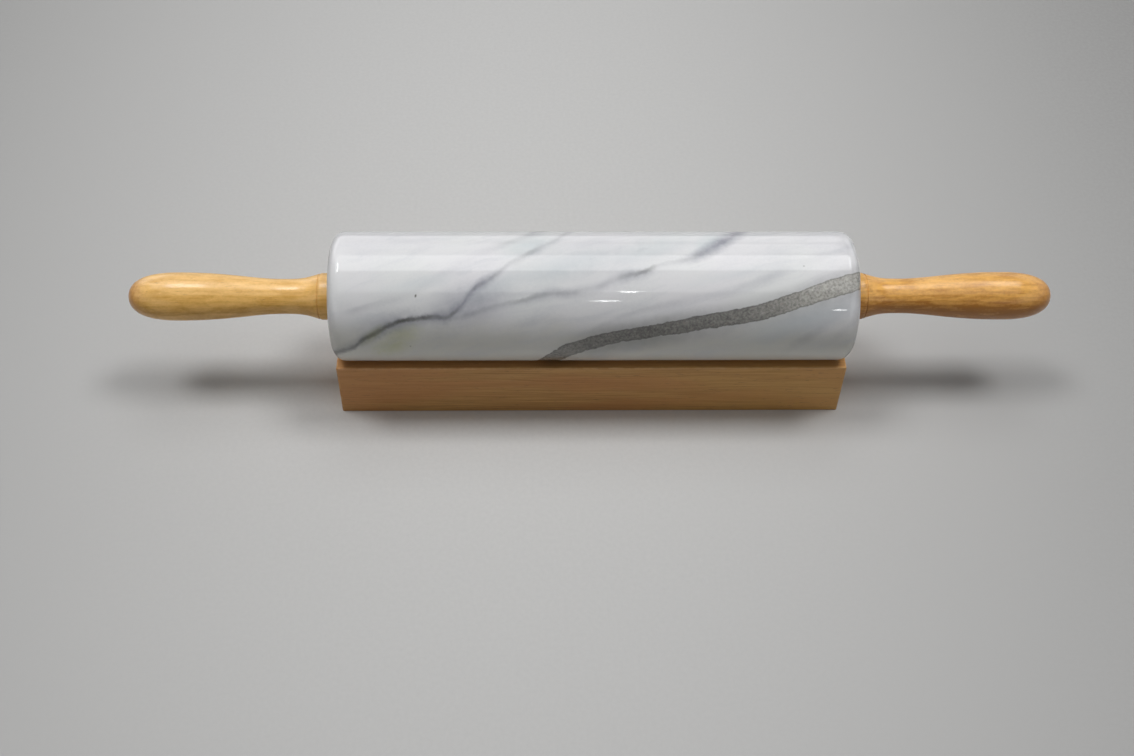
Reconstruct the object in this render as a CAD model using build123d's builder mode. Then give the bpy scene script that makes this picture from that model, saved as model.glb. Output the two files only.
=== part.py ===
from build123d import *
from math import sqrt
import os

# Marble rolling pin with turned wooden handles, lying on its wooden cradle.
# Millimetres. X runs along the pin, Y is across it with the front at -Y, and Z is up.
# The origin is the middle of the cradle's footprint, on the surface that it stands on.

# Marble barrel
barrel_length = 254
barrel_radius = 31.75
barrel_edge_radius = 6

# Bearing bush in each end of the barrel
bush_length = 22
bush_wall = 3
bush_flange_thickness = 2
bush_flange_width = 2.2
bush_flange_proud = 0.3
bush_edge_break = 0.4

# Steel axle: a plain shaft with a thinner thread at each end
axle_radius = 5
thread_radius = 4
thread_past_insert = 3
thread_end_chamfer = 0.8
shoulder_chamfer = 0.4

# Thrust washer and lock nut against each shoulder of the axle
washer_radius = 8.5
washer_thickness = 1
washer_edge_break = 0.15
nut_across_flats = 13
nut_thickness = 4
nut_chamfer = 0.6

# Ribbed brass insert that carries the handle on the thread
insert_length = 18
insert_radius = 6
insert_rib_count = 6
insert_rib_share = 0.55
insert_groove_depth = 0.5

# Turned handle, from its face beside the barrel to its tip
handle_length = 98.4
collar_length = 5
collar_radius = 11.5
collar_edge_radius = 0.6
shoulder_length = 1.25
shoulder_drop = 0.4
ring_groove_width = 0.5
ring_groove_depth = 0.3
neck_radius = 8.6
grip_radius = 11.85
handle_bore_end = 2

# Shape of the handle's outline, as shares of the lengths and radii that it joins
neck_place_share = 0.236
grip_place_share = 0.754
flare_start_share = 0.41
flare_fall_share = 0.92
flare_end_share = 0.5
swell_start_share = 0.28
swell_end_share = 0.5
tip_start_share = 0.6
tip_end_share = 0.73

# Cradle: a plain block with a cove that the barrel lies in
cradle_width = 48.4
cradle_height = 33.4
cradle_edge_radius = 0.5
cove_depth = 5.5

# Clearances
cove_clearance = 0.3
running_clearance = 0.05
running_end_gap = 0.3
fit_clearance = 0.05
thread_clearance = 0.05
handle_face_gap = 0.2
nut_pocket_clearance = 0.5
overrun = 5

# Heights and places that follow from the sizes above
axis_height = cradle_height - cove_depth + cove_clearance + barrel_radius
half_barrel = barrel_length / 2
bush_bore_radius = axle_radius + running_clearance
bush_radius = bush_bore_radius + bush_wall
bush_flange_radius = bush_radius + bush_flange_width
flange_pocket_depth = bush_flange_thickness - bush_flange_proud
thread_hole_radius = thread_radius + thread_clearance
nut_corner_radius = nut_across_flats / sqrt(3)
nut_pocket_radius = nut_corner_radius + nut_pocket_clearance
washer_face = bush_flange_proud + running_end_gap
nut_face = washer_face + washer_thickness
insert_face = nut_face + nut_thickness
handle_face = nut_face + handle_face_gap
thread_end = insert_face + insert_length + thread_past_insert

pin_axis = Axis((0, 0, axis_height), (1, 0, 0))
sides = {"left": -1, "right": 1}


def end_plane(side, distance):
    """Plane square to the pin, at a distance outside the barrel's end, facing outwards."""
    return Plane(
        origin=(side * (half_barrel + distance), 0, axis_height), x_dir=(0, side, 0), z_dir=(side, 0, 0)
    )


def turning_plane(side):
    """Plane through the pin's axis: x runs outwards from the barrel's end and y is the radius."""
    return Plane(origin=(side * half_barrel, 0, axis_height), x_dir=(side, 0, 0), z_dir=(0, -side, 0))


def finish(piece, name):
    """Label a finished piece and write it."""
    piece.part.label = name
    export_step(piece.part, f"parts/{name}.step")


os.makedirs("parts", exist_ok=True)

# Marble barrel: a cylinder with rounded ends, bored through, with a pocket for each bush's flange
with BuildPart() as barrel:
    with BuildSketch(end_plane(-1, 0)):
        Circle(barrel_radius)
    extrude(amount=-barrel_length)
    fillet(barrel.edges().filter_by(GeomType.CIRCLE), barrel_edge_radius)
    with Locations(end_plane(-1, 0), end_plane(1, 0)):
        CounterBoreHole(
            radius=bush_radius + fit_clearance,
            counter_bore_radius=bush_flange_radius + fit_clearance,
            counter_bore_depth=flange_pocket_depth,
            depth=half_barrel + overrun,
        )
finish(barrel, "marble_barrel")

# Bearing bushes: plain sleeves whose flanges lie in the barrel's ends
for side_name, side in sides.items():
    with BuildPart() as bush:
        with BuildSketch(end_plane(side, bush_flange_proud)):
            Circle(bush_flange_radius)
        extrude(amount=-bush_flange_thickness)
        with BuildSketch(end_plane(side, bush_flange_proud - bush_flange_thickness)):
            Circle(bush_radius)
        extrude(amount=-(bush_length - bush_flange_thickness))
        ends = bush.faces().filter_by(Axis.X).sort_by(Axis.X)
        chamfer(ends[0].edges() + ends[-1].edges(), bush_edge_break)
        with Locations(end_plane(side, bush_flange_proud)):
            Hole(bush_bore_radius)
    finish(bush, f"{side_name}_bearing_bush")

# Axle: the shaft runs from shoulder to shoulder, and the threads stand out past them
with BuildPart() as axle:
    with BuildSketch(end_plane(-1, washer_face)):
        Circle(axle_radius)
    extrude(amount=-(barrel_length + 2 * washer_face))
    chamfer(axle.edges().filter_by(GeomType.CIRCLE), shoulder_chamfer)
    for side in sides.values():
        with BuildSketch(end_plane(side, thread_end)):
            Circle(thread_radius)
        extrude(amount=-(thread_end - washer_face))
    tips = axle.faces().filter_by(Axis.X).sort_by(Axis.X)
    chamfer(tips[0].edges() + tips[-1].edges(), thread_end_chamfer)
finish(axle, "axle_rod")

# Thrust washers: they turn with the axle and run against the bushes' flanges
for side_name, side in sides.items():
    with BuildPart() as washer:
        with BuildSketch(end_plane(side, washer_face)):
            Circle(washer_radius)
            Circle(thread_hole_radius, mode=Mode.SUBTRACT)
        extrude(amount=washer_thickness)
        rims = washer.edges().filter_by(GeomType.CIRCLE).sort_by(SortBy.RADIUS)[-2:]
        chamfer(rims, washer_edge_break)
    finish(washer, f"{side_name}_thrust_washer")

# Lock nuts: thin hexagon nuts that clamp the washers to the axle's shoulders
for side_name, side in sides.items():
    with BuildPart() as nut:
        with BuildSketch(end_plane(side, nut_face)):
            Circle(nut_corner_radius)
        extrude(amount=nut_thickness)
        chamfer(nut.edges().filter_by(GeomType.CIRCLE), nut_chamfer)
        with BuildSketch(end_plane(side, nut_face)):
            RegularPolygon(nut_corner_radius, 6)
        extrude(amount=nut_thickness, mode=Mode.INTERSECT)
        with Locations(end_plane(side, insert_face)):
            Hole(thread_hole_radius)
    finish(nut, f"{side_name}_lock_nut")

# Threaded inserts: brass sleeves with ribs that grip the wood, and grooves between the ribs
for side_name, side in sides.items():
    rib_pitch = insert_length / insert_rib_count
    groove_length = rib_pitch * (1 - insert_rib_share)
    with BuildPart() as insert:
        with BuildSketch(end_plane(side, insert_face)):
            Circle(insert_radius)
            Circle(thread_hole_radius, mode=Mode.SUBTRACT)
        extrude(amount=insert_length)
        for groove in range(1, insert_rib_count):
            with BuildSketch(end_plane(side, insert_face + groove * rib_pitch - groove_length / 2)):
                Circle(insert_radius + overrun)
                Circle(insert_radius - insert_groove_depth, mode=Mode.SUBTRACT)
            extrude(amount=groove_length, mode=Mode.SUBTRACT)
    finish(insert, f"{side_name}_threaded_insert")

# Handles: a collar beside the barrel, a thin groove, a flare down to the neck, a swell to the
# grip and a round tip
collar_end = handle_face + collar_length
shoulder_start = collar_end - shoulder_length
shoulder_radius = collar_radius - shoulder_drop
flare_place = collar_end + ring_groove_width
handle_end = handle_face + handle_length
neck_place = handle_face + neck_place_share * handle_length
grip_place = handle_face + grip_place_share * handle_length
flare = neck_place - flare_place
swell = grip_place - neck_place
tip = handle_end - grip_place
flare_drop = shoulder_radius - neck_radius
for side_name, side in sides.items():
    with BuildPart() as handle:
        with BuildSketch(turning_plane(side)):
            with BuildLine():
                Line((handle_face, 0), (handle_face, collar_radius - collar_edge_radius))
                TangentArc(
                    (handle_face, collar_radius - collar_edge_radius),
                    (handle_face + collar_edge_radius, collar_radius),
                    tangent=(0, 1),
                )
                Line((handle_face + collar_edge_radius, collar_radius), (shoulder_start, collar_radius))
                TangentArc(
                    (shoulder_start, collar_radius), (collar_end, shoulder_radius), tangent=(1, 0)
                )
                ThreePointArc(
                    (collar_end, shoulder_radius),
                    (collar_end + ring_groove_width / 2, shoulder_radius - ring_groove_depth),
                    (flare_place, shoulder_radius),
                )
                Bezier(
                    (flare_place, shoulder_radius),
                    (
                        flare_place + flare_start_share * flare,
                        shoulder_radius - flare_fall_share * flare_drop,
                    ),
                    (neck_place - flare_end_share * flare, neck_radius),
                    (neck_place, neck_radius),
                )
                Bezier(
                    (neck_place, neck_radius),
                    (neck_place + swell_start_share * swell, neck_radius),
                    (grip_place - swell_end_share * swell, grip_radius),
                    (grip_place, grip_radius),
                )
                Bezier(
                    (grip_place, grip_radius),
                    (grip_place + tip_start_share * tip, grip_radius),
                    (handle_end, tip_end_share * grip_radius),
                    (handle_end, 0),
                )
                Line((handle_end, 0), (handle_face, 0))
            make_face()
        revolve(axis=pin_axis)
        with Locations(end_plane(side, handle_face)):
            Hole(nut_pocket_radius, depth=insert_face - handle_face)
            Hole(insert_radius + fit_clearance, depth=insert_face + insert_length - handle_face)
            Hole(thread_hole_radius, depth=thread_end + handle_bore_end - handle_face)
    finish(handle, f"{side_name}_handle")

# Cradle: a block as long as the barrel, its edges eased, with the cove cut along its top
with BuildPart() as cradle:
    with BuildSketch(Plane.YZ.offset(-half_barrel)):
        Rectangle(cradle_width, cradle_height, align=(Align.CENTER, Align.MIN))
    extrude(amount=barrel_length)
    fillet(cradle.edges(), cradle_edge_radius)
    with BuildSketch(end_plane(-1, overrun)):
        Circle(barrel_radius + cove_clearance)
    extrude(amount=-(barrel_length + 2 * overrun), mode=Mode.SUBTRACT)
finish(cradle, "cradle")
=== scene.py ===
# %% [markdown]
# # A marble rolling pin on its wooden cradle
#
# The pin is a polished marble barrel that turns on a steel axle between two lacquered wooden
# handles, and it lies in the cove of a plain block of brown wood. Every size comes from the
# packed model, which is loaded first and never moved. Blender adds what the construction leaves
# out: the stone, the two woods, the metals and the nylon, then a floor, lamps and a camera.

# %% Load the packed model
import math

import bpy
from mathutils import Matrix, Quaternion, Vector


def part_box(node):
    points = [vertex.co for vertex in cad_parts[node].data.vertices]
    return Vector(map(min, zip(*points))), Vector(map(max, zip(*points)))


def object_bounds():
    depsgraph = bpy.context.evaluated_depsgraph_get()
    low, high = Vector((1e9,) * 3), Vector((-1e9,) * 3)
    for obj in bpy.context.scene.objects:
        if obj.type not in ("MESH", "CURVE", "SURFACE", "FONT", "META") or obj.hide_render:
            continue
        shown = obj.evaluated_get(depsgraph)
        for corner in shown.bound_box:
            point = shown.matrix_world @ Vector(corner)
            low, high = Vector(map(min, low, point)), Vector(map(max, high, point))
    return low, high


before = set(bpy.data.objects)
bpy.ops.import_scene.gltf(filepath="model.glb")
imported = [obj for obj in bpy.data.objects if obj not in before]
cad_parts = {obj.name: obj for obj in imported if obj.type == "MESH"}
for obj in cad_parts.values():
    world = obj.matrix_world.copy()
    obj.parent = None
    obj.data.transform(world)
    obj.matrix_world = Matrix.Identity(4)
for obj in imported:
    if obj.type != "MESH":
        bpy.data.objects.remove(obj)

model_low, model_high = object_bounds()
bpy.ops.object.select_all(action="DESELECT")
model_size = [round(side, 4) for side in model_high - model_low]
print("pieces:", len(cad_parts), "and their box in metres:", model_size)

# %% [markdown]
# ## Sizes that the finishes follow
#
# A vein in the stone, or a darker tip on a handle, has to sit at a real place, so the pieces' own
# boxes are measured once. The finishes work in millimetres, because a grain of 0.3 mm is easier
# to judge than one of 0.0003 m.

# %% Measure the barrel
MM = 0.001
barrel_low, barrel_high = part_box("marble_barrel")
barrel_radius = (barrel_high.y - barrel_low.y) / 2 / MM
half_barrel = (barrel_high.x - barrel_low.x) / 2 / MM
axis_height = (barrel_high.z + barrel_low.z) / 2 / MM
print("barrel radius", round(barrel_radius, 2), "mm, its axis", round(axis_height, 2), "mm up")

# %% Measure the handles and the cradle
handle_low, handle_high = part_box("right_handle")
handle_face = handle_low.x / MM
handle_length = (handle_high.x - handle_low.x) / MM
_, cradle_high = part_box("cradle")
cradle_top = cradle_high.z / MM
cradle_front = cradle_high.y / MM
cradle_end = cradle_high.x / MM
print("handle", round(handle_length, 1), "mm long, cradle", round(cradle_top, 1), "mm tall")

# %% [markdown]
# ## The camera
#
# The photograph looks down at the pin at about 50 degrees, from a little to the left of its
# middle, with the camera turned by about one degree. A lens of 45 mm on a full frame gives the
# same perspective. The camera is aimed at a point, from a bearing, a tilt and a distance, because
# a photographer would say it that way, and each of these can be changed alone.

# %% Set up the camera
camera_bearing = math.radians(-1.927)
camera_tilt = math.radians(49.809)
camera_roll = math.radians(1.349)
camera_distance = 748.64 * MM
camera_aim = Vector((-11.674, 0, -2.63)) * MM
lens_mm = 45.1

backwards = Vector((
    math.sin(camera_bearing) * math.cos(camera_tilt),
    -math.cos(camera_bearing) * math.cos(camera_tilt),
    math.sin(camera_tilt),
))
bpy.ops.object.camera_add(location=camera_aim + backwards * camera_distance)
camera = bpy.context.object
camera.name = "photo_camera"
camera.rotation_mode = "QUATERNION"
camera.rotation_quaternion = (-backwards).to_track_quat("-Z", "Y") @ Quaternion((0, 0, 1), camera_roll)
camera.data.lens = lens_mm
bpy.context.scene.camera = camera
print("camera stands at", [round(part, 3) for part in camera.location])

# %% [markdown]
# ## A small language for finishes
#
# A finish is a graph of nodes, but a formula such as `1 - mask * 0.4` is easier to read than four
# boxes and five wires. `Wire` wraps the output of a node, and Python's operators on it add Math
# nodes. `Finish` fills one material or world, and its method `add` makes any other node from its
# type, its settings and what goes into its sockets.

# %% Wires that can be added and multiplied
class Wire:
    """The output of a node, as a value in Python sums."""

    def __init__(self, finish, socket):
        self.finish = finish
        self.socket = socket

    def sum(self, operation, *terms):
        return self.finish.add("ShaderNodeMath", {"operation": operation}, dict(enumerate(terms)))

    def __add__(self, other):
        return self.sum("ADD", self, other)

    def __radd__(self, other):
        return self.sum("ADD", other, self)

    def __sub__(self, other):
        return self.sum("SUBTRACT", self, other)

    def __rsub__(self, other):
        return self.sum("SUBTRACT", other, self)

    def __mul__(self, other):
        return self.sum("MULTIPLY", self, other)

    def __rmul__(self, other):
        return self.sum("MULTIPLY", other, self)

    def __truediv__(self, other):
        return self.sum("DIVIDE", self, other)

    def __rtruediv__(self, other):
        return self.sum("DIVIDE", other, self)

    def __abs__(self):
        return self.sum("ABSOLUTE", self)

    def fraction(self):
        """What is left past the last whole number, which makes a pattern repeat."""
        return self.sum("FRACT", self)

    def most(self, other):
        return self.sum("MAXIMUM", self, other)

    def least(self, other):
        return self.sum("MINIMUM", self, other)


print("a wire can be added, subtracted, multiplied, divided and compared")


# %% Finishes that can add any node
class Finish:
    """The nodes of one new material or world."""

    def __init__(self, owner):
        owner.use_nodes = True
        self.owner = owner
        self.tree = owner.node_tree
        self.tree.nodes.clear()

    def add(self, kind, settings=None, sockets=None, output=0):
        """Add a node: its settings first, then a value or a wire for each socket."""
        node = self.tree.nodes.new(kind)
        for name, value in (settings or {}).items():
            if name == "curves":
                self.draw_curves(node.mapping, value)
            else:
                setattr(node, name, value)
        for name, value in (sockets or {}).items():
            if isinstance(value, Wire):
                self.tree.links.new(value.socket, node.inputs[name])
            else:
                node.inputs[name].default_value = value
        return Wire(self, node.outputs[output]) if node.outputs else node

    def draw_curves(self, mapping, curves):
        """Put the points of each curve into a curve node."""
        for curve, points in zip(mapping.curves, curves):
            while len(curve.points) < len(points):
                curve.points.new(0, 0)
            for point, place in zip(curve.points, points):
                point.location = place
                point.handle_type = "AUTO_CLAMPED"
        mapping.use_clip = False
        mapping.extend = "HORIZONTAL"
        mapping.update()

    def place(self):
        """Object coordinates in millimetres."""
        place = self.add("ShaderNodeTexCoord", output="Object")
        return self.add("ShaderNodeVectorMath", {"operation": "SCALE"}, {0: place, "Scale": 1 / MM})

    def parts(self, vector):
        """The three parts of a vector."""
        node = self.add("ShaderNodeSeparateXYZ", sockets={0: vector}).socket.node
        return [Wire(self, socket) for socket in node.outputs]

    def vector(self, x, y, z):
        return self.add("ShaderNodeCombineXYZ", sockets={0: x, 1: y, 2: z})

    def length(self, vector):
        return self.add("ShaderNodeVectorMath", {"operation": "LENGTH"}, {0: vector}, output="Value")

    def noise(self, where, size, detail=2, rough=0.5, sway=0):
        """Soft noise from 0 to 1, whose patches are about size millimetres across."""
        scale = {"Vector": where, "Scale": 1 / size}
        shape = {"Detail": detail, "Roughness": rough, "Distortion": sway}
        return self.add("ShaderNodeTexNoise", sockets={**scale, **shape})

    def fade(self, value, start, end):
        """0 up to start, 1 from end, and a smooth step between them. start may be above end."""
        settings = {"interpolation_type": "SMOOTHSTEP"}
        return self.add("ShaderNodeMapRange", settings, {0: value, 1: start, 2: end})

    def tint(self, mask, under, over, blend="MIX"):
        """The colour under, covered or multiplied by the colour over as far as the mask says."""
        colours = {6: self.colour(under), 7: self.colour(over)}
        settings = {"data_type": "RGBA", "blend_type": blend}
        return self.add("ShaderNodeMix", settings, {0: mask, **colours}, output=2)

    def colour(self, colour):
        return colour if isinstance(colour, Wire) else (*colour, 1)

    def bump(self, height, depth_mm, under=None):
        """Relief from a height between 0 and 1, where 1 stands depth_mm above 0."""
        sockets = {"Distance": depth_mm * MM, "Height": height}
        if under is not None:
            sockets["Normal"] = under
        return self.add("ShaderNodeBump", sockets=sockets)

    def shade(self, **sockets):
        """Close the material with a Principled shader. An underscore stands for a space."""
        named = {name.replace("_", " "): value for name, value in sockets.items()}
        named["Base Color"] = self.colour(named["Base Color"])
        shader = self.add("ShaderNodeBsdfPrincipled", sockets=named)
        self.add("ShaderNodeOutputMaterial", sockets={"Surface": shader})
        print("finish", self.owner.name, "has", len(self.tree.nodes), "nodes")
        return self.owner


def dress(finish, *names):
    """Give the packed pieces their finish, in the slots that they came with."""
    for name in names:
        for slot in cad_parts[name].material_slots:
            slot.material = finish
    print("dressed:", ", ".join(names))


print("a finish can:", [name for name in vars(Finish) if not name.startswith("_")])

# %% [markdown]
# ## Where the veins run
#
# White marble is a pale stone with smoke in it: soft streaks that all dip the same way, a few
# thin dark threads and, here, one broad band of grey, speckled stone. The veins are sheets that
# run right through the block, so each is worked out in three dimensions and shows on the end faces
# too. But a flat sheet leaves an oval round a bar: behind, each thread would bend back on itself,
# and two ovals in a row look drawn. So the sheets of the side that the photograph shows fade out
# behind, and two others cross that side.
#
# A picture of marble wrapped round the barrel would be quicker, but it would have a seam and
# smeared ends. So a sheet's course is given by a few stations instead: how far along the barrel
# it is, and how far up or down it lies there as the camera sees it. A Vector Curves node joins
# the stations smoothly, and noise makes the line tremble as a real vein does.

# %% The threads
# Each station is: along the barrel, across it, how dark the thread's core is, how dark the smoke
# round it is, and how far the smoke reaches below it and above it.
dark_thread = [
    (-127, -28.5, 0.5, 0.2, 2, 2), (-116, -25.8, 0.38, 0.3, 1.5, 5), (-110, -21.8, 0.46, 0.38, 4, 4.5),
    (-104, -19, 0.48, 0.4, 5, 4), (-98, -15.8, 0.62, 0.34, 5, 3.5), (-92, -13.4, 0.88, 0.3, 4.5, 2.5),
    (-86, -12.4, 0.72, 0.28, 4.5, 2), (-80, -11.9, 0.64, 0.34, 4.5, 3), (-75, -11.4, 0.42, 0.48, 4.5, 3.8),
    (-71, -11.9, 0.36, 0.4, 4, 6), (-67, -9.7, 0.5, 0.4, 4, 5.5), (-63, -6.5, 0.14, 0.32, 4.5, 5),
    (-60, -1.5, 0.12, 0.28, 4.5, 4.5), (-56.5, 2.1, 0.3, 0.48, 4, 4.5), (-52, 4.8, 0.14, 0.42, 4.5, 4.5),
    (-46, 9, 0.12, 0.22, 4, 3), (-40, 14.2, 0.05, 0.1, 3, 2), (-35, 16.8, 0.08, 0.15, 4, 3),
    (-31, 19.1, 0.2, 0.2, 4, 2.5), (-27, 21, 0.12, 0.2, 5, 3.5), (-22, 23.6, 0.05, 0.12, 4, 3),
    (-10, 32, 0.1, 0.15, 3, 3), (40, 58, 0.4, 0.3, 4, 4),
]
smoky_thread = [
    (-72, -13.5, 0, 0, 2, 2), (-58, -10, 0.1, 0.12, 3, 3), (-45, -5.8, 0.06, 0.09, 4, 2),
    (-35, -4, 0.18, 0.15, 4, 1.5), (-27, -1.7, 0.17, 0.22, 4.5, 3.5), (-19, -0.3, 0.1, 0.24, 5, 4),
    (-12, 0, 0.1, 0.28, 5, 3.5), (-4, 1.3, 0.06, 0.14, 5, 4), (3, 3.2, 0.05, 0.2, 4.5, 3.5),
    (9, 6, 0.06, 0.16, 5, 4), (15, 7.9, 0.24, 0.36, 5, 4.5), (20, 8.9, 0.32, 0.3, 4.5, 3),
    (25, 10.6, 0.36, 0.24, 5, 1.5), (31, 13, 0.06, 0.06, 3, 2), (38, 14.6, 0.06, 0.12, 3, 2),
    (45, 16, 0.12, 0.26, 4, 4), (50, 18.4, 0.12, 0.46, 5, 5), (55, 21, 0.1, 0.5, 6, 5.5),
    (60, 24, 0.15, 0.52, 6, 6), (65, 26.6, 0.13, 0.48, 5.5, 6), (70, 29.6, 0.08, 0.4, 5.5, 6),
    (82, 36, 0.1, 0.25, 3, 3), (127, 58, 0.3, 0.3, 4, 4),
]
faint_thread = [
    (-127, -11, 0, 0.03, 3, 2), (-119, -9.5, 0, 0.06, 3, 2), (-112, -7.7, 0.02, 0.17, 4, 2),
    (-104, -5.2, 0.01, 0.12, 4, 1.5), (-95, -3.5, 0.01, 0.09, 4, 4), (-85, 0.5, 0, 0.05, 4, 4),
    (-62, 15, 0, 0.04, 4, 4), (-50, 21, 0.01, 0.06, 4, 4), (-40, 24.9, 0.04, 0.13, 3, 2.5),
    (-34, 27.3, 0.02, 0.12, 3, 3), (-29, 30.3, 0.04, 0.22, 4.5, 5), (-15, 36, 0.04, 0.18, 3, 3),
    (60, 64, 0.1, 0.2, 4, 4),
]
lower_thread = [
    (-20, -26, 0, 0, 3, 2), (22, -8.5, 0.02, 0.09, 3, 2), (32, -6.2, 0.02, 0.11, 4, 3),
    (42, -3.8, 0.01, 0.09, 4, 3), (54, -1.3, 0, 0.05, 4, 3), (62, -0.3, 0.01, 0.09, 4, 4),
    (72, 3.6, 0.01, 0.12, 5, 3), (80, 6, 0, 0.15, 5, 3.5), (95, 12, 0, 0.05, 4, 4), (127, 24, 0, 0.1, 3, 3),
]
threads = [dark_thread, smoky_thread, faint_thread, lower_thread]
print("threads:", len(threads), "with", sum(len(stations) for stations in threads), "stations")

# %% The broad band
# Each station is: along the barrel, the band's upper edge, its lower edge, how pale it is and how
# dark the smoke beside it is.
broad_band = [
    (-60, -46, -52, 0.2, 0), (-26, -31, -37, 0.2, 0.05), (-13, -24, -30.3, 0.18, 0.1),
    (-7, -22, -28.3, 0.16, 0.2), (1, -20, -26, 0.14, 0.36), (10, -18, -23.8, 0.1, 0.42),
    (22, -16.2, -21.9, 0.03, 0.42), (38, -13.3, -19.7, 0.08, 0.38), (50, -11, -17.6, 0.12, 0.3),
    (66, -8.2, -15.3, 0.18, 0.22), (78, -5.5, -13.4, 0.3, 0.2), (90, -1.6, -9.9, 0.52, 0.22),
    (105, 3.6, -5, 0.85, 0.26), (118, 8, -1.5, 0.8, 0.26), (127, 10.2, 1.6, 0.8, 0.26),
]
print("the band is", round(broad_band[-1][1] - broad_band[-1][2], 1), "mm wide at its right end")

# %% Smudges and stains
# Each one is: along the barrel, across it, half its length, half its width, its slope in degrees
# and its strength.
smoke_smudges = [
    (-60, -6, 35, 15, 20, 0.3), (-94, -14.5, 27, 9, 8, 0.34), (-4, 13, 62, 19, 12, 0.1),
    (-1, 16.5, 7, 1.6, 12, 0.13), (23, 20.8, 8, 1.6, 14, 0.13), (102, -21, 16, 4, 32, 0.15),
    (106, -12, 34, 9, 18, 0.1), (118, -19, 10, 3, 40, 0.05), (-30, -14, 20, 3, 12, 0.08),
]
cool_smudges = [
    (-46, 3, 24, 7, 24, 0.6), (-84, 4, 24, 5, 12, 0.5), (-110, -13, 16, 5, 14, 0.3),
    (100, -13, 40, 10, 18, 0.7), (-15, 12, 36, 9, 16, 0.75), (28, 22, 34, 7, 16, 0.6),
    (62, 8, 30, 4, 14, 0.3), (-32, 23, 18, 7, 16, 0.9), (55, 25, 14, 7, 24, 0.9),
]
olive_stains = [(-92, -20, 15, 7, 12, 0.65), (-97, -25, 14, 6, 8, 0.7), (-105, -19.5, 11, 3.5, 34, 0.8)]
pits = [(-84.5, -1.6, 1.2, 0.75, 75, 1.1), (99.2, 12.5, 0.8, 0.6, 0, 0.5), (-88, -25, 0.7, 0.6, 0, 0.4)]
print("smudges:", len(smoke_smudges) + len(cool_smudges), "stains:", len(olive_stains), "pits:", len(pits))

# %% [markdown]
# ## Polished marble
#
# The stone is built up as a painter would: a near white ground with very soft streaks, then cool
# and smoky smudges, the threads, the stain and, last, the band with its jagged dark edges and
# sandy speckle. Polish needs no texture: a low roughness gives crisp reflections of the lamps, and
# a little subsurface light makes the stone look deep, as if the veins lay just below its skin.

# %% Colours of the stone
marble_white = (0.705, 0.70, 0.72)
marble_cream = (0.695, 0.705, 0.705)
# The next colour is partly the stone's own tint and partly painted bounce light from the cradle below.
marble_warm = (0.62, 0.615, 0.56)
marble_grey = (0.535, 0.55, 0.585)
cool_grey = (0.585, 0.625, 0.64)
smoke_colour = (0.125, 0.135, 0.20)
thread_colour = (0.085, 0.087, 0.075)
olive_filter = (0.86, 0.88, 0.58)
band_dark = (0.105, 0.102, 0.095)
band_light = (0.50, 0.49, 0.45)
band_rust = (0.30, 0.24, 0.215)
band_edge_colour = (0.10, 0.10, 0.098)
print("white reflects", marble_white[0], "and a thread", thread_colour[0], "of the light")


# %% Courses drawn by curves
def course(stone, along, stations):
    """Smooth lines through stations: a wire for each number after the place along the barrel."""
    share = along / half_barrel
    spread = stone.vector(share, share, share)
    places, *columns = zip(*stations)
    lines = []
    # A Vector Curves node holds three curves, so the columns of numbers go in by threes.
    for first in range(0, len(columns), 3):
        three = columns[first:first + 3]
        curves = [
            [(x / half_barrel, value / barrel_radius) for x, value in zip(places, column)]
            for column in three
        ]
        drawn = stone.parts(stone.add("ShaderNodeVectorCurve", {"curves": curves}, {"Vector": spread}))
        lines += [line * barrel_radius for line in drawn[:len(three)]]
    return lines


print("a curve runs from", -round(half_barrel), "to", round(half_barrel), "mm along the barrel")

# %% Threads and smudges
# A core is at its darkest up to 0.15 mm off its middle, and ends 1.8 mm off it.
core_full = 0.15
core_end = 1.8


def thread(stone, along, across, stations):
    """How far a thin vein's core, and the smoke round it, darken the stone."""
    middle, core, smoke, below, above = course(stone, along, stations)
    off = across - middle
    line = stone.fade(abs(off), core_end, core_full) * core
    cloud = stone.fade(off, above, 0) * stone.fade(off, below * -1, 0) * smoke
    return line, cloud


def smudge(stone, sheet, mark):
    """A soft oval mark on the sheet that faces the camera."""
    x, y, half_length, half_width, slope, strength = mark
    lie = {
        "Location": (x, y, 0),
        "Rotation": (0, 0, math.radians(slope)),
        "Scale": (half_length, half_width, 1),
    }
    local = stone.add("ShaderNodeMapping", {"vector_type": "TEXTURE"}, {"Vector": sheet, **lie})
    return stone.fade(stone.length(local), 1, 0) * strength


def strongest(marks):
    """One mask from many: the strongest of them."""
    most = marks[0]
    for mark in marks[1:]:
        most = most.most(mark)
    return most


print("the core of a thread is", 2 * core_end, "mm wide at most")

# %% The ground: white with soft streaks
streak_dip = math.radians(17)
streak_stretch = 6


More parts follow.
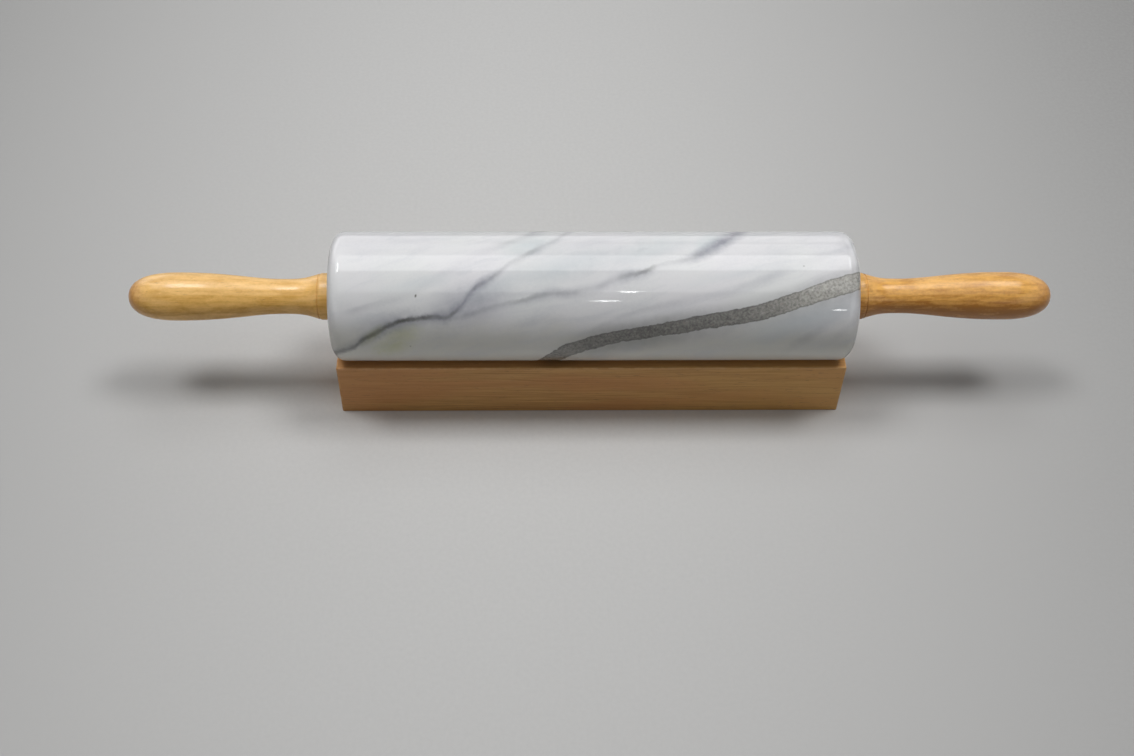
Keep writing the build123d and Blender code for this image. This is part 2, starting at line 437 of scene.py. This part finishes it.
def marble_ground(stone, place, along, across, depth):
    """The pale stone between the veins."""
    waver = stone.noise(place, 22, detail=2) - 0.5
    down_streak = along * math.cos(streak_dip) + across * math.sin(streak_dip)
    over_streak = across * math.cos(streak_dip) - along * math.sin(streak_dip) + waver * 9
    streak_place = stone.vector(down_streak / streak_stretch, over_streak, depth / 2)
    broad = stone.fade(stone.noise(streak_place, 8, detail=4, rough=0.55, sway=0.4), 0.42, 0.72)
    fine = stone.fade(stone.noise(streak_place, 2.6, detail=3, rough=0.6), 0.45, 0.8)
    clouds = stone.noise(place, 30, detail=3)
    hue = stone.fade(stone.noise(place, 45, detail=1), 0.35, 0.65)
    crystals = stone.noise(place, 1.1, detail=2)
    grey = broad * 0.36 + fine * 0.22 + (clouds - 0.5) * 0.6 + (crystals - 0.5) * 0.4
    pale = stone.tint(hue, marble_white, marble_cream)
    # Partly the stone's own warm tint, partly painted bounce light from the brown cradle: the lower front
    # of the stone is made warmer and a little darker.
    warm_and_bounce = stone.fade(across + waver * 20, -8, -28) * stone.fade(depth, -20, 5)
    return stone.tint(grey, stone.tint(warm_and_bounce * 0.8, pale, marble_warm), marble_grey)


print("the streaks dip", round(math.degrees(streak_dip)), "degrees")

# %% The band: speckled stone with jagged edges
smoke_above = 6
smoke_below = 8


def marble_band(stone, place, along, across):
    """The smoke beside the band, the band's mask and its colour."""
    upper, lower, pale, smoke = course(stone, along, broad_band)
    above = stone.fade(across - upper, smoke_above, 0)
    below = stone.fade(lower - across, smoke_below, 0)
    jag = (stone.noise(place, 2.2, detail=3) - 0.5) * 1.4 + (stone.noise(place, 7, detail=1) - 0.5) * 1.2
    inside = (upper - across - jag).least(across - jag - lower)
    mask = stone.fade(inside, -0.25, 0.3)
    speckle = stone.noise(place, 1.15, detail=2, rough=0.6) - 0.5
    clumps = stone.noise(place, 3, detail=3, rough=0.6) - 0.5
    light = pale * 0.62 + 0.14 + (speckle * 1.6 + clumps * 0.9) * (0.5 + pale * 0.5)
    colour = stone.tint(light, band_dark, band_light)
    rust = stone.fade(stone.noise(place, 1.5, detail=2), 0.58, 0.72)
    colour = stone.tint(rust * 0.35, colour, band_rust)
    edge = stone.fade(inside, 1.1, 0.2)
    return above * below * smoke, mask * 0.97, stone.tint(edge * 0.45, colour, band_edge_colour)


print("smoke reaches", smoke_above, "mm above the band and", smoke_below, "mm below it")

# %% The threads, in front and behind
# Two of the threads cross the hidden side too, turned end for end, so that their station 0 lies
# 18 mm along the barrel. Across is counted in depth there: it is 0 at 14 mm behind the axis, as
# the camera sees it, and grows by 1.3 mm with each mm towards the camera.
crossing_start = 18
crossing_depth = 14
crossing_stretch = 1.3
hidden_threads = [dark_thread, smoky_thread]


def marble_threads(stone, body, along, across, depth, tremble, drift, uneven):
    """The stone with its threads, each drawn over the ones before it."""
    hidden = stone.fade(depth, 0, -10)
    shown = 1 - hidden
    sway = tremble * 1.6
    front = across + sway + drift
    crossing = (depth + crossing_depth) * crossing_stretch - sway
    sheets = [(stations, along, front, shown) for stations in threads]
    sheets += [(stations, crossing_start - along, crossing, hidden) for stations in hidden_threads]
    for stations, sheet_along, sheet_across, share in sheets:
        line, cloud = thread(stone, sheet_along, sheet_across, stations)
        body = stone.tint(cloud * share * uneven * 1.25, body, smoke_colour)
        body = stone.tint(line * share * uneven * 1.1, body, thread_colour)
    return body


print("threads behind:", len(hidden_threads))


# %% Polished marble
def marble_finish():
    stone = Finish(bpy.data.materials.new("polished_marble"))
    place = stone.place()
    along, y, z = stone.parts(place)
    lift = z - axis_height
    # The veins were judged from the photograph, so "across" is up and down as the camera sees it,
    # and "depth" is towards the camera. Both are fixed to the stone and turn with it.
    across = y * math.sin(camera_tilt) + lift * math.cos(camera_tilt)
    depth = lift * math.sin(camera_tilt) - y * math.cos(camera_tilt)

    behind = stone.fade(depth, 0, -barrel_radius)
    waver = stone.noise(place, 18, detail=2) - 0.5
    tremble = stone.noise(place, 2.6, detail=3, rough=0.6) - 0.5
    # Behind, the sheets drift out of their planes, so that the band doesn't come back as an oval.
    drift = behind * (13 + waver * 40)
    facing = stone.fade(depth, -2, 5)
    sheet = stone.vector(along + tremble * 8, across + tremble * 5, 0)
    uneven = 0.55 + stone.noise(place, 5, detail=3, rough=0.6) * 0.9

    body = marble_ground(stone, place, along, across, depth)
    cool = strongest([smudge(stone, sheet, mark) for mark in cool_smudges])
    body = stone.tint(cool * facing * uneven, body, cool_grey)
    smoke = strongest([smudge(stone, sheet, mark) for mark in smoke_smudges])
    body = stone.tint(smoke * facing * uneven * 1.3, body, smoke_colour)
    body = marble_threads(stone, body, along, across, depth, tremble, drift, uneven)
    olive = strongest([smudge(stone, sheet, mark) for mark in olive_stains])
    body = stone.tint(olive * facing * uneven, body, olive_filter, "MULTIPLY")
    beside, band, band_colour = marble_band(stone, place, along, across + drift)
    body = stone.tint(beside * uneven, body, band_edge_colour)
    body = stone.tint(band, body, band_colour)
    pit = strongest([smudge(stone, stone.vector(along, across, 0), mark) for mark in pits])
    body = stone.tint(pit * facing, body, thread_colour)

    polish = 0.02 + stone.noise(place, 4, detail=4, rough=0.7) * 0.03 + pit * 0.3
    return stone.shade(
        Base_Color=body,
        Roughness=polish,
        IOR=1.5,
        Subsurface_Weight=0.12,
        Subsurface_Radius=(1, 1, 1),
        Subsurface_Scale=1.2 * MM,
    )


dress(marble_finish(), "marble_barrel")

# %% [markdown]
# ## Lacquered handles
#
# The handles are turned from a pale, even hardwood and dipped in a clear amber lacquer. Wood is a
# bundle of long fibres in yearly rings round the tree's own middle, which lies well outside so
# thin a stick. The rings are worked out round such a far axis, so the turned shape cuts them into
# long, slanting figures by itself. The fibres, short dark flecks and flame-like patches come from
# noise that is stretched along the stick. The tips show end grain, which drinks more lacquer and
# turns orange, and the thin groove behind the collar gets a little painted shade.
#
# The two handles came from different boards: the right one is redder, and its figure is another.

# %% Colours of the handles
# "shift" moves the pattern, so that the two don't match. "underside" is how far the wood darkens
# below, and "fibres" is how dark its fibres are.
left_amber = {
    "light": (0.86, 0.51, 0.145),
    "dark": (0.56, 0.28, 0.03),
    "shift": (0, 0, 0),
    "underside": 0.28,
    "fibres": 0.34,
}
right_amber = {
    "light": (0.855, 0.455, 0.10),
    "dark": (0.39, 0.145, 0.006),
    "shift": (31, 47, 13),
    "underside": 0.72,
    "fibres": 0.22,
}
fleck_colour = (0.27, 0.12, 0.03)
end_grain_colour = (0.50, 0.22, 0.045)
groove_shade_colour = (0.40, 0.19, 0.045)
print("the left wood goes from", left_amber["light"], "to", left_amber["dark"])

# %% Places in the handles, in mm
# The groove is measured from the handle's face, the end grain from its tip, and the middle of the
# tree from its axis.
groove_place = 5.25
groove_reach = 0.6
tip_length = 9
tree_in_front = 38
tree_below = 26
handle_ring = 2.7
print("a year's ring is", handle_ring, "mm thick")


# %% Lacquered handle wood
def handle_finish(name, amber):
    wood = Finish(bpy.data.materials.new(name))
    place = wood.place()
    x, y, z = wood.parts(place)
    lift = z - axis_height
    outwards = abs(x) - handle_face
    shifted = wood.add("ShaderNodeVectorMath", {"operation": "ADD"}, {0: place, 1: amber["shift"]})
    along, over, up = wood.parts(shifted)

    sway = (wood.noise(wood.vector(along / 5, over, up), 7, detail=2) - 0.5) * 5
    from_tree = wood.length(wood.vector(0, y + tree_in_front, lift + tree_below)) + sway
    ring = (from_tree / handle_ring).fraction()
    late_wood = wood.fade(ring, 0.35, 0.9) * wood.fade(ring, 1, 0.93)

    flames = wood.noise(wood.vector(along / 4, over, up), 3, detail=4, rough=0.65, sway=0.4)
    blotches = wood.noise(wood.vector(along / 2.5, over, up), 7, detail=3, rough=0.6)
    fibres = wood.noise(wood.vector(along / 20, over, up), 0.45, detail=3, rough=0.6)
    flecks = wood.fade(wood.noise(wood.vector(along / 6, over, up), 0.55, detail=1), 0.68, 0.77)
    mottle = wood.noise(shifted, 1.6, detail=3, rough=0.65)
    upwards = lift / wood.length(wood.vector(0, y, lift)) + (blotches - 0.5) * 0.6
    underside = wood.fade(upwards, 1, 0.1) * amber["underside"]

    figure = wood.fade(flames, 0.36, 0.68) * 0.5 + late_wood * 0.2
    figure = figure + (blotches - 0.5) * 0.9 + (mottle - 0.5) * 0.5
    colour = wood.tint(figure + underside, amber["light"], amber["dark"])
    colour = wood.tint(wood.fade(fibres, 0.5, 0.78) * amber["fibres"], colour, amber["dark"])
    colour = wood.tint(flecks * amber["fibres"] * 1.3, colour, fleck_colour)
    tip = wood.fade(outwards + mottle * 6, handle_length - tip_length, handle_length + 3)
    colour = wood.tint(tip * (0.6 + mottle * 0.6), colour, end_grain_colour)
    # Painted shade: the thin groove behind the collar is darkened a little.
    groove = wood.fade(abs(outwards - groove_place), groove_reach, 0.1)
    colour = wood.tint(groove * 0.12, colour, groove_shade_colour)

    relief = wood.bump(fibres * 0.6 + flames * 0.4, 0.07)
    return wood.shade(
        Base_Color=colour,
        Roughness=0.4 + fibres * 0.16,
        Specular_IOR_Level=0.15,
        Normal=relief,
        Coat_Weight=0.4 + mottle * 0.6,
        Coat_Roughness=0.14,
    )


dress(handle_finish("amber_handle_wood", left_amber), "left_handle")
dress(handle_finish("red_amber_handle_wood", right_amber), "right_handle")

# %% [markdown]
# ## The cradle's brown wood
#
# The cradle is a sawn and planed block with a thin satin oil, with none of the handles' gloss. Its
# grain runs along the block in fine, straight lines, so the same stretched noise is used again,
# finer and longer. Open pores are short dark dashes. Across the two end faces the same pattern,
# squeezed instead of stretched, shows as rings and dots, as end grain does. The edges are paler,
# unevenly: partly rubbed by handling, partly a painted highlight where the eased edges catch the
# light. The cove, and the narrow strips beside it, get a painted shade: they are a darker brown
# than the sides, so the gap under the barrel stays dark.

# %% Colours of the cradle
brown_light = (0.60, 0.325, 0.10)
brown_pale = (0.74, 0.42, 0.115)
brown_dark = (0.41, 0.19, 0.05)
brown_red = (0.53, 0.22, 0.065)
pore_colour = (0.17, 0.07, 0.02)
# The next colour is for the paler edges: partly real wear, partly a painted highlight.
rubbed_and_lit_colour = (0.70, 0.43, 0.19)
print("the cradle goes from", brown_light, "to", brown_dark)

# %% Places in the cradle, in mm
# The middle of the tree lies behind the block's own middle and far below it.
tree_behind = 9
tree_under = 70
cradle_ring = 3.1
cove_depth = 5.5
worn_and_lit_edge = 1.2
print("the cradle's end grain starts", round(cradle_end, 1), "mm from its middle")


# %% Brown cradle wood
def cradle_finish():
    wood = Finish(bpy.data.materials.new("brown_cradle_wood"))
    place = wood.place()
    x, y, z = wood.parts(place)
    drift = (wood.noise(wood.vector(x / 8, y, z), 12, detail=2) - 0.5) * 5
    slope = z + x * 0.008 + drift
    grain = wood.noise(wood.vector(x / 45, y, slope), 0.75, detail=4, rough=0.65)
    boards = wood.noise(wood.vector(x / 18, y, slope), 5, detail=3)
    hue = wood.noise(wood.vector(x / 6, y, z), 14, detail=2)
    pores = wood.fade(wood.noise(wood.vector(x / 14, y, z), 0.36, detail=1), 0.66, 0.76)

    figure = wood.fade(grain, 0.36, 0.66) * 0.75 + wood.fade(boards, 0.4, 0.7) * 0.3
    colour = wood.tint(figure, brown_light, brown_dark)
    colour = wood.tint(wood.fade(hue, 0.42, 0.62) * 0.55, colour, brown_red)
    colour = wood.tint(wood.fade(x, -30, cradle_end) * 0.4, colour, brown_pale)
    colour = wood.tint(pores * 0.65, colour, pore_colour)

    end = abs(x)
    end_face = wood.fade(end, cradle_end - 0.6, cradle_end - 0.1)
    from_tree = wood.length(wood.vector(0, y - tree_behind, z + tree_under)) + drift * 0.4
    ring = (from_tree / cradle_ring).fraction()
    colour = wood.tint(end_face * (0.35 + wood.fade(ring, 0.3, 0.95) * 0.35), colour, brown_dark)

    # Partly real wear, partly a painted highlight: the edges are made paler, unevenly, as if rubbed by
    # handling and catching the light on their rounding.
    rub = wood.noise(place, 6, detail=4, rough=0.65)
    side = abs(y)
    rim = wood.fade(z, cradle_top - worn_and_lit_edge, cradle_top - 0.2)
    long_edge = wood.fade(side, cradle_front - 1, cradle_front - 0.1) * rim
    corner = wood.fade(side, cradle_front - worn_and_lit_edge, cradle_front - 0.2)
    end_edge = wood.fade(end, cradle_end - worn_and_lit_edge, cradle_end - 0.3) * corner.most(rim)
    rubbed_and_lit = long_edge.most(end_edge) * wood.fade(rub, 0.35, 0.65)
    colour = wood.tint(rubbed_and_lit * 0.6, colour, rubbed_and_lit_colour)

    # Painted shade: the cove and the narrow strips beside it lie under the barrel and are darkened, so the
    # gap stays dark.
    cove_floor = cradle_top - cove_depth
    cove = wood.fade(z, cove_floor - 1, cove_floor - 0.1)
    cove = cove * wood.fade(side, cradle_front - 0.7, cradle_front - 1.6)
    cove = cove * wood.fade(end, cradle_end - 0.3, cradle_end - 1)
    colour = wood.tint(cove * 0.55, colour, brown_dark)

    relief = wood.bump(grain * 0.6 + (1 - pores) * 0.4, 0.09)
    return wood.shade(
        Base_Color=colour,
        Roughness=0.42 + grain * 0.2 - rubbed_and_lit * 0.08,
        IOR=1.48,
        Normal=relief,
    )


dress(cradle_finish(), "cradle")

# %% [markdown]
# ## Steel, brass and nylon
#
# The hardware hardly shows: a sliver of a washer glints in the gap beside each handle. It is
# finished all the same, because the part can be taken apart. Every one of these pieces was made on
# a lathe, and a lathe leaves fine rings round the axis, so one function serves them all: noise
# that changes quickly along the axis and slowly round it. Only the colour, the gloss and how far
# the colour wanders change from piece to piece. The axle's ends carry a thread, which is a ridge
# that climbs by one pitch in each turn.

# %% Where the axle's thread starts
washer_low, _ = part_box("right_thrust_washer")
thread_start = washer_low.x / MM
thread_pitch = 1.25
print("threads start", round(thread_start, 2), "mm from the middle")


# %% Turned finishes
def turned_finish(name, colour, stain, metallic, roughness, threaded=False, **extra):
    """A finish with the rings that a lathe leaves, and patches of stain."""
    metal = Finish(bpy.data.materials.new(name))
    place = metal.place()
    x, y, z = metal.parts(place)
    lift = z - axis_height
    rings = metal.noise(metal.vector(x, y / 25, lift / 25), 0.16, detail=2, rough=0.7)
    patches = metal.noise(place, 2.5, detail=4, rough=0.6)
    relief = metal.bump(rings, 0.012)
    if threaded:
        turn = metal.add("ShaderNodeMath", {"operation": "ARCTAN2"}, {0: lift, 1: y}) / math.tau
        climb = (x / thread_pitch + turn).fraction()
        ridge = abs(climb - 0.5) * 2 * metal.fade(abs(x), thread_start, thread_start + 0.5)
        relief = metal.bump(ridge, 0.6, under=relief)
    return metal.shade(
        Base_Color=metal.tint(metal.fade(patches, 0.4, 0.75) * 0.6, colour, stain),
        Metallic=metallic,
        Roughness=roughness + rings * 0.15 + patches * 0.08,
        Normal=relief,
        **extra,
    )


print("the axle's thread climbs", thread_pitch, "mm in each turn")

# %% Dress the hardware
zinc = {"colour": (0.66, 0.665, 0.67), "stain": (0.58, 0.56, 0.50)}
drawn_steel = {"colour": (0.56, 0.555, 0.55), "stain": (0.40, 0.385, 0.37)}
yellow_brass = {"colour": (0.79, 0.57, 0.25), "stain": (0.55, 0.35, 0.14)}
ivory_nylon = {"colour": (0.79, 0.77, 0.70), "stain": (0.70, 0.67, 0.58)}
dress(turned_finish("drawn_steel", **drawn_steel, metallic=1, roughness=0.22, threaded=True), "axle_rod")
dress(
    turned_finish("zinc_plate", **zinc, metallic=1, roughness=0.2),
    "left_thrust_washer", "right_thrust_washer", "left_lock_nut", "right_lock_nut",
)
dress(
    turned_finish("turned_brass", **yellow_brass, metallic=1, roughness=0.2),
    "left_threaded_insert", "right_threaded_insert",
)
dress(
    turned_finish("ivory_nylon", **ivory_nylon, metallic=0, roughness=0.35, IOR=1.53),
    "left_bearing_bush", "right_bearing_bush",
)

# %% [markdown]
# ## The floor
#
# The pin stands on a plain, pale grey table top. A wide plane is enough, and its colour alone
# makes the background. The table is palest round the pin and greys towards the corners: a pool of
# light from lamps that hang close, painted into the table's colour, and a trace of noise keeps it
# from looking like paper. In the polish it is mirrored as pale as it is near the pin, so no dark
# line runs along the barrel.
#
# Far away, where no photograph from above reaches, the table fades into the grey of the room, so
# that a low camera sees no hard horizon, and neither does the polished stone. Light Path tells
# the rays that look, from the camera or in a reflection, from those that only carry light.

# %% Rays that look
looking_rays = ["Camera", "Glossy", "Transmission"]
room_grey = (0.53, 0.53, 0.53)


def looked_at(finish, *kinds):
    """1 for a ray of one of these kinds, and 0 for all other rays."""
    rays = finish.add("ShaderNodeLightPath").socket.node
    return strongest([Wire(finish, rays.outputs[f"Is {kind} Ray"]) for kind in kinds])


print("the room is grey", room_grey[0])

# %% Colours of the table
# The painted pool of light has its middle at a place in mm, reaches as far along the pin as
# pool_reach says, and pool_stretch times as far across it.
floor_near = (0.607, 0.605, 0.598)
floor_far = (0.20, 0.198, 0.195)
floor_grain = (0.45, 0.45, 0.447)
pool_middle = (-52, 133)
pool_reach = 625
pool_stretch = 2.2
print("the table goes from", floor_near[0], "near the pin to", floor_far[0])

# %% The table round the pin
ground = Finish(bpy.data.materials.new("pale_floor"))
ground_place = ground.place()
speckle = ground.noise(ground_place, 2.2, detail=3, rough=0.6)
ground_x, ground_y, _ = ground.parts(ground_place)
out_of_pool = ground.vector(ground_x - pool_middle[0], (ground_y - pool_middle[1]) / pool_stretch, 0)
# Painted light: the table's colour is paler in a pool round the pin, as if lit by lamps that hang close.
painted_light_pool = ground.fade(ground.length(out_of_pool), pool_reach, 0)
mirrored = looked_at(ground, "Glossy")
table_colour = ground.tint(painted_light_pool.most(mirrored), floor_far, floor_near)
table_colour = ground.tint(speckle * 0.5, table_colour, floor_grain)
table_look = {"Base Color": table_colour, "Roughness": 0.8, "Specular IOR Level": 0}
table = ground.add("ShaderNodeBsdfPrincipled", sockets=table_look)
print("the table has", len(ground.tree.nodes), "nodes so far")

# %% The haze far away, and the floor itself
# Both are in mm from the middle of the pin.
haze_start = 800
haze_full = 1900
away = ground.length(ground.vector(ground_x, ground_y, 0))
haze = ground.fade(away, haze_start, haze_full) * looked_at(ground, *looking_rays)
backdrop = ground.add("ShaderNodeEmission", sockets={"Color": (*room_grey, 1)})
surface = ground.add("ShaderNodeMixShader", sockets={0: haze, 1: table, 2: backdrop})
ground.add("ShaderNodeOutputMaterial", sockets={"Surface": surface})

floor_width = 8
bpy.ops.mesh.primitive_plane_add(size=floor_width, location=(0, 0, 0))
floor = bpy.context.object
floor.name = "pale_floor"
floor.data.materials.append(ground.owner)
print("floor is", round(floor.dimensions.x), "m wide")

# %% [markdown]
# ## Soft light
#
# In a polished barrel, every lamp is seen as a stripe, so photographers part the two jobs of a
# lamp: some give light and stay out of the reflections, and white cards are put up only to be
# mirrored. Blender can do the same with each lamp's visibility to diffuse and glossy rays. A pair
# of softboxes hangs to the left and the right, nearly overhead, and gives most of the light, and
# three weak panels fill the shadows. Each lamp is placed by two angles from straight overhead,
# because that decides where its shadow or its reflection falls.
#
# The barrel mirrors the low card as the long, pale stripe below its top, the high and the far card
# above that, and the front card below it. Two small cards are there for the handles' gloss, and
# two walls for the rounded ends of the barrel. Seven small, bright lamps far behind the camera
# make the short glints, as the lights of a room do.
#
# The room itself gives almost no light, but the glossy stone and the camera see it as a pale grey.

# %% Softboxes
lamp_distance = 3


def softbox(name, behind, sideways, tall, wide, radiance, card=False):
    """A flat lamp that faces the pin, or a card that is only mirrored. All angles are in degrees."""
    behind, sideways = math.radians(behind), math.radians(sideways)
    facing = Vector((
        math.sin(sideways),
        math.cos(sideways) * math.sin(behind),
        math.cos(sideways) * math.cos(behind),
    ))
    bpy.ops.object.light_add(type="AREA", location=facing * lamp_distance)
    lamp = bpy.context.object
    lamp.name = name
    across = (Vector((1, 0, 0)) - facing * facing.x).normalized()
    lamp.rotation_euler = Matrix((across, facing.cross(across), facing)).transposed().to_euler()
    lamp.data.shape = "RECTANGLE"
    lamp.data.size = 2 * lamp_distance * math.tan(math.radians(wide) / 2)
    lamp.data.size_y = 2 * lamp_distance * math.tan(math.radians(tall) / 2)
    lamp.data.energy = radiance * math.pi * lamp.data.size * lamp.data.size_y
    lamp.visible_camera = False
    lamp.visible_glossy = card
    lamp.visible_diffuse = not card
    print(name, "gives", round(lamp.data.energy, 1), "W")


softbox("left_softbox", behind=4, sideways=-20, tall=15, wide=16, radiance=13.1)
softbox("right_softbox", behind=4, sideways=20, tall=15, wide=16, radiance=13.8)
softbox("overhead_panel", behind=-2, sideways=0, tall=13, wide=27, radiance=1.6)
softbox("back_panel", behind=19, sideways=1.5, tall=28, wide=25, radiance=2.3)
softbox("front_panel", behind=-20, sideways=0, tall=22, wide=50, radiance=0.75)

# %% Cards to be mirrored
softbox("low_card", behind=17.5, sideways=-3, tall=31, wide=66, radiance=3.45, card=True)
softbox("front_card", behind=-17, sideways=-3, tall=38, wide=66, radiance=1.2, card=True)
softbox("high_card", behind=47.5, sideways=-16, tall=29, wide=60, radiance=1.5, card=True)
softbox("far_card", behind=76, sideways=-16, tall=27, wide=60, radiance=1, card=True)
softbox("left_card", behind=10, sideways=-16.5, tall=18, wide=11, radiance=8, card=True)
softbox("right_card", behind=16, sideways=21.5, tall=14, wide=11, radiance=2.5, card=True)
softbox("left_wall", behind=0, sideways=-58, tall=140, wide=34, radiance=0.9, card=True)
softbox("right_wall", behind=0, sideways=58, tall=140, wide=34, radiance=0.85, card=True)

# %% Small bright lamps far behind the camera, which glint in the polish
# Each one is: how far behind, how far sideways and how wide it is, in degrees.
small_lamps = [
    (-51, 2.35, 0.14), (-51, 2.8, 0.5), (-51, 3.25, 0.18), (-35.7, 3.65, 0.14), (-35.7, 4.05, 0.55),
    (-35.7, 4.8, 0.08), (-67, 14.05, 0.45),
]
glint_tall = 2.2
glint_radiance = 18
for number, (behind, sideways, wide) in enumerate(small_lamps, 1):
    softbox(f"small_lamp_{number}", behind, sideways, glint_tall, wide, glint_radiance, card=True)

# %% The pale room
room_light = (0.088, 0.088, 0.088)
room = Finish(bpy.data.worlds.new("pale_room"))
room_colour = room.tint(looked_at(room, *looking_rays), room_light, room_grey)
background = room.add("ShaderNodeBackground", sockets={"Color": room_colour})
room.add("ShaderNodeOutputWorld", sockets={"Surface": background})
bpy.context.scene.world = room.owner
bpy.context.scene.view_settings.view_transform = "Standard"
print("world", room.owner.name, "is ready")

# %% [markdown]
# ## The sizes after dressing
#
# The finishes add no thickness, so the dressed pin must measure what the packed model measured.
